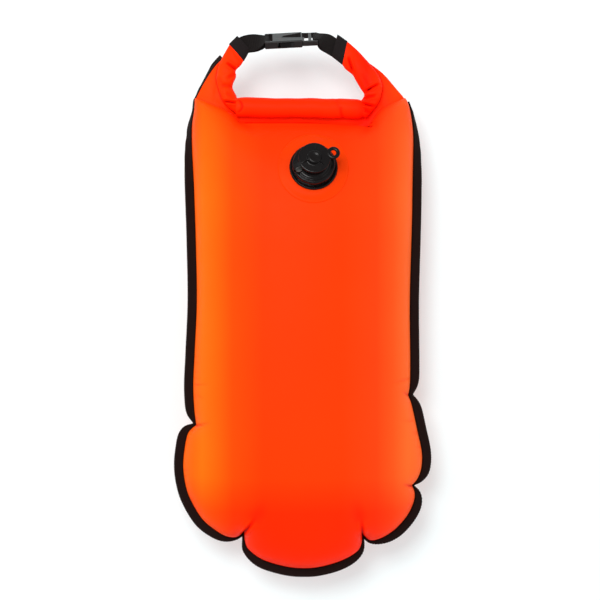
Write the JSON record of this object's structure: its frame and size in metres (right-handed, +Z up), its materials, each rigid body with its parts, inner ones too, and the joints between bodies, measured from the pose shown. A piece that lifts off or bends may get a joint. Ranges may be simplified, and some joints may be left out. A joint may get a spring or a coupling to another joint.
{
  "type": "open water swim buoy",
  "caption": "Inflatable open water swim buoy with a rolled dry bag mouth, a buckled carry handle, a taped welded seam and a capped inflation valve.",
  "frame": {"origin": "middle of the flat patch that the back panel rests on, at the floor", "axes": "+X across the bag, +Y along it to the handle, +Z up from the floor, out of the front with the valve"},
  "size_m": [0.3036, 0.6431, 0.1648],
  "materials": {
    "coated_fabric": "welded coated fabric, satin",
    "patch_film": "clear welded reinforcement over coated fabric",
    "liner_film": "thin translucent film",
    "stiffener_strip": "plain extruded strip",
    "binding_tape": "woven binding tape",
    "webbing": "ribbed woven webbing",
    "buckle_plastic": "moulded acetal, satin",
    "valve_plastic": "soft moulded plastic",
    "seal_rubber": "matt",
    "silicone": "translucent",
    "stem_plastic": "moulded"
  },
  "bodies": {
    "bag": {"front_panel": "coated_fabric", "back_panel": "coated_fabric", "inner_liner": "liner_film", "edge_binding": "binding_tape", "left_corner_web": "coated_fabric", "right_corner_web": "coated_fabric", "roll_collar": "coated_fabric", "mouth_stiffener": "stiffener_strip", "valve_patch": "patch_film", "valve_base": "valve_plastic"},
    "arm_left": {"left_arm": "coated_fabric", "left_end_band": "binding_tape", "left_webbing": "webbing"},
    "arm_right": {"right_arm": "coated_fabric", "right_end_band": "binding_tape", "right_webbing": "webbing"},
    "socket": {"buckle_female": "buckle_plastic"},
    "plug": {"buckle_male": "buckle_plastic"},
    "prong_upper": {"upper_prong": "buckle_plastic"},
    "prong_lower": {"lower_prong": "buckle_plastic"},
    "valve_ring": {"valve_gasket": "seal_rubber"},
    "valve_screw": {"valve_body": "valve_plastic", "valve_stem": "stem_plastic", "strap_peg": "valve_plastic", "cap_strap": "valve_plastic"},
    "cap": {"valve_cap": "valve_plastic"},
    "flap": {"valve_flap": "silicone"}
  },
  "joints": [
    {"name": "handle_left", "type": "hinge", "parent": "bag", "child": "arm_left", "pos_m": [-0.088, 0.2375, 0.0815], "axis": [0, 0, 1], "range_deg": [0, 40], "deforming": ["upper_prong", "lower_prong"]},
    {"name": "handle_right", "type": "hinge", "parent": "bag", "child": "arm_right", "pos_m": [0.07597, 0.24609, 0.0815], "axis": [0, 0, 1], "range_deg": [-40, 0]},
    {"name": "socket_swivel", "type": "hinge", "parent": "arm_left", "child": "socket", "pos_m": [-0.0422, 0.308, 0.0815], "axis": [0, 0, 1], "range_deg": [-40, 0], "deforming": ["left_webbing"]},
    {"name": "plug_swivel", "type": "hinge", "parent": "arm_right", "child": "plug", "pos_m": [0.02306, 0.31142, 0.0815], "axis": [0, 0, 1], "range_deg": [0, 40], "deforming": ["right_webbing"]},
    {"name": "prong_press_upper", "type": "hinge", "parent": "plug", "child": "prong_upper", "pos_m": [-0.00051, 0.31501, 0.07206], "axis": [-0.0466, 0.8898, 0.454], "range_deg": [0, 9], "stiffness_Nm_per_rad": 0.2},
    {"name": "prong_press_lower", "type": "hinge", "parent": "plug", "child": "prong_lower", "pos_m": [-0.00001, 0.3054, 0.09094], "axis": [-0.0466, 0.8898, 0.454], "range_deg": [-9, 0], "stiffness_Nm_per_rad": 0.2},
    {"name": "valve_rise", "type": "slide", "parent": "bag", "child": "valve_ring", "axis": [0.0226, 0.2839, 0.9586], "range_m": [0, 0.00901]},
    {"name": "valve_turn", "type": "hinge", "parent": "valve_ring", "child": "valve_screw", "pos_m": [0.0125, 0.156, 0.12837], "axis": [0.0226, 0.2839, 0.9586], "range_deg": [0, 540]},
    {"name": "cap_lift", "type": "hinge", "parent": "valve_screw", "child": "cap", "pos_m": [-0.00369, 0.15744, 0.15994], "axis": [0.4096, -0.8773, 0.2502], "range_deg": [0, 110], "deforming": ["cap_strap"]},
    {"name": "flap_open", "type": "slide", "parent": "valve_screw", "child": "flap", "axis": [-0.0226, -0.2839, -0.9586], "range_m": [0, 0.002], "stiffness_N_per_m": 4}
  ],
  "couplings": [
    {"joint": "handle_right", "follows": "handle_left", "ratio": -1},
    {"joint": "socket_swivel", "follows": "handle_left", "ratio": -1},
    {"joint": "plug_swivel", "follows": "handle_left", "ratio": 1},
    {"joint": "prong_press_lower", "follows": "prong_press_upper", "ratio": -1},
    {"joint": "valve_rise", "follows": "valve_turn", "m_per_rad": 0.00095493}
  ]
}
